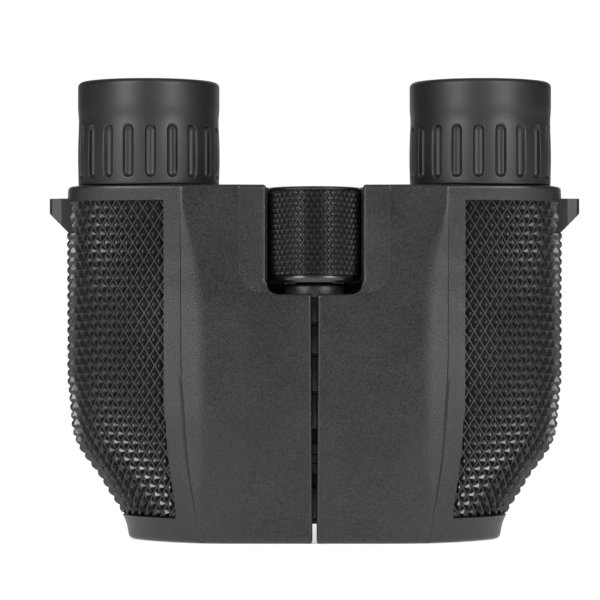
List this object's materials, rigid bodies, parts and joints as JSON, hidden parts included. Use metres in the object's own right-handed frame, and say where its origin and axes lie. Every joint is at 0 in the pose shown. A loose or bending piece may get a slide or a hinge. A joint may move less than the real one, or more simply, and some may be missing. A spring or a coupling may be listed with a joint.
{
  "type": "compact binoculars",
  "caption": "Compact folding reverse-Porro binoculars with central focus wheel, twist-up eyecups, diopter ring and diamond rubber grips.",
  "frame": {"origin": "centre of the bounding box in plan, on the plane of the objective ends on which the object stands", "axes": "+Z along the optical axes towards the eyepieces, +X towards the half with the diopter ring, -Y the dorsal side with the flush panels"},
  "size_m": [0.1146, 0.0358, 0.0989],
  "materials": {
    "body_plastic": "fine spark-eroded matte black",
    "cover_plastic": "fine matte black",
    "grip_rubber": "soft black, diamond-point pattern",
    "lug_plastic": "satin black",
    "screw_steel": "blackened steel",
    "bezel_plastic": "satin black",
    "black_aluminium": "black anodised",
    "coated_glass": "anti-reflection coated",
    "prism_glass": "polished",
    "plate_aluminium": "as stamped",
    "spring_steel": "plain",
    "barrel_plastic": "satin black",
    "retainer_plastic": "matte black",
    "guide_acetal": "acetal, satin",
    "cup_plastic": "satin black",
    "eyecup_rubber": "satin soft rubber",
    "arm_aluminium": "die cast",
    "hinge_steel": "ground",
    "cap_plastic": "satin black",
    "washer_acetal": "acetal",
    "wheel_plastic": "satin black",
    "wheel_rubber": "diamond knurl",
    "spindle_brass": "turned",
    "nut_brass": "turned",
    "pin_steel": "plain",
    "ring_brass": "blackened, turned"
  },
  "bodies": {
    "left_barrel": {"left_housing": "body_plastic", "left_top_cover": "cover_plastic", "left_grip": "grip_rubber", "left_strap_lug": "lug_plastic", "left_cover_screws": "screw_steel", "left_objective_bezel": "bezel_plastic", "left_upper_prism": "prism_glass", "left_lower_prism": "prism_glass", "left_prism_plate": "plate_aluminium", "left_prism_clips": "spring_steel", "left_ocular_barrel": "barrel_plastic", "left_ocular_cell": "black_aluminium", "left_field_stop": "black_aluminium", "left_field_lens": "coated_glass", "left_lens_spacers": "black_aluminium", "left_eye_lens": "coated_glass", "left_eye_retainer": "retainer_plastic", "hinge_tube": "hinge_steel", "hinge_end_cap": "cap_plastic", "hinge_washers": "washer_acetal"},
    "right_barrel": {"right_housing": "body_plastic", "right_top_cover": "cover_plastic", "right_grip": "grip_rubber", "right_strap_lug": "lug_plastic", "right_cover_screws": "screw_steel", "right_objective_bezel": "bezel_plastic", "right_upper_prism": "prism_glass", "right_lower_prism": "prism_glass", "right_prism_plate": "plate_aluminium", "right_prism_clips": "spring_steel", "right_ocular_barrel": "barrel_plastic"},
    "focus_wheel": {"focus_wheel_core": "wheel_plastic", "focus_wheel_grip": "wheel_rubber", "focus_wheel_cap": "wheel_plastic", "focus_spindle": "spindle_brass"},
    "left_focus_slider": {"focus_nut": "nut_brass", "focus_carriage": "arm_aluminium", "left_focus_arm": "arm_aluminium", "left_objective_cell": "black_aluminium", "left_objective_lens": "coated_glass", "left_objective_retainer": "black_aluminium"},
    "right_focus_slider": {"right_focus_arm": "arm_aluminium", "right_objective_cell": "black_aluminium", "right_objective_lens": "coated_glass", "right_objective_retainer": "black_aluminium"},
    "left_cup_slide": {"left_eyecup_guide": "guide_acetal"},
    "left_cup": {"left_eyecup_core": "cup_plastic", "left_eyecup": "eyecup_rubber"},
    "right_cup_slide": {"right_eyecup_guide": "guide_acetal"},
    "right_cup": {"right_eyecup_core": "cup_plastic", "right_eyecup": "eyecup_rubber"},
    "diopter_ring": {"right_diopter_ring": "ring_brass"},
    "right_ocular": {"right_ocular_cell": "black_aluminium", "right_field_stop": "black_aluminium", "right_field_lens": "coated_glass", "right_lens_spacers": "black_aluminium", "right_eye_lens": "coated_glass", "right_eye_retainer": "retainer_plastic", "right_diopter_pin": "pin_steel"}
  },
  "joints": [
    {"name": "interpupillary_hinge", "type": "hinge", "parent": "left_barrel", "child": "right_barrel", "pos_m": [0, -0.00777, 0.05], "axis": [0, 0, 1], "range_deg": [0, 59]},
    {"name": "focus_wheel_turn", "type": "hinge", "parent": "left_barrel", "child": "focus_wheel", "pos_m": [0, -0.00777, 0.05], "axis": [0, 0, 1], "range_deg": [-225, 225]},
    {"name": "left_focus_travel", "type": "slide", "parent": "left_barrel", "child": "left_focus_slider", "axis": [0, 0, 1], "range_m": [-0.00225, 0.00225]},
    {"name": "right_focus_travel", "type": "slide", "parent": "right_barrel", "child": "right_focus_slider", "axis": [0, 0, 1], "range_m": [-0.00225, 0.00225]},
    {"name": "left_eyecup_rise", "type": "slide", "parent": "left_barrel", "child": "left_cup_slide", "axis": [0, 0, 1], "range_m": [0, 0.005]},
    {"name": "left_eyecup_twist", "type": "hinge", "parent": "left_cup_slide", "child": "left_cup", "pos_m": [-0.036, -0.00057, 0.05], "axis": [0, 0, 1], "range_deg": [0, 120]},
    {"name": "right_eyecup_rise", "type": "slide", "parent": "right_barrel", "child": "right_cup_slide", "axis": [0, 0, 1], "range_m": [0, 0.005]},
    {"name": "right_eyecup_twist", "type": "hinge", "parent": "right_cup_slide", "child": "right_cup", "pos_m": [0.036, -0.00057, 0.05], "axis": [0, 0, 1], "range_deg": [0, 120]},
    {"name": "diopter_turn", "type": "hinge", "parent": "right_barrel", "child": "diopter_ring", "pos_m": [0.036, -0.00057, 0.05], "axis": [0, 0, 1], "range_deg": [-45, 45]},
    {"name": "right_ocular_travel", "type": "slide", "parent": "right_barrel", "child": "right_ocular", "axis": [0, 0, 1], "range_m": [-0.0008, 0.0008]}
  ],
  "couplings": [
    {"joint": "left_focus_travel", "follows": "focus_wheel_turn", "m_per_rad": 0.000572},
    {"joint": "right_focus_travel", "follows": "focus_wheel_turn", "m_per_rad": 0.000572},
    {"joint": "left_eyecup_rise", "follows": "left_eyecup_twist", "m_per_rad": 0.002387},
    {"joint": "right_eyecup_rise", "follows": "right_eyecup_twist", "m_per_rad": 0.002387},
    {"joint": "right_ocular_travel", "follows": "diopter_turn", "m_per_rad": 0.001018}
  ]
}
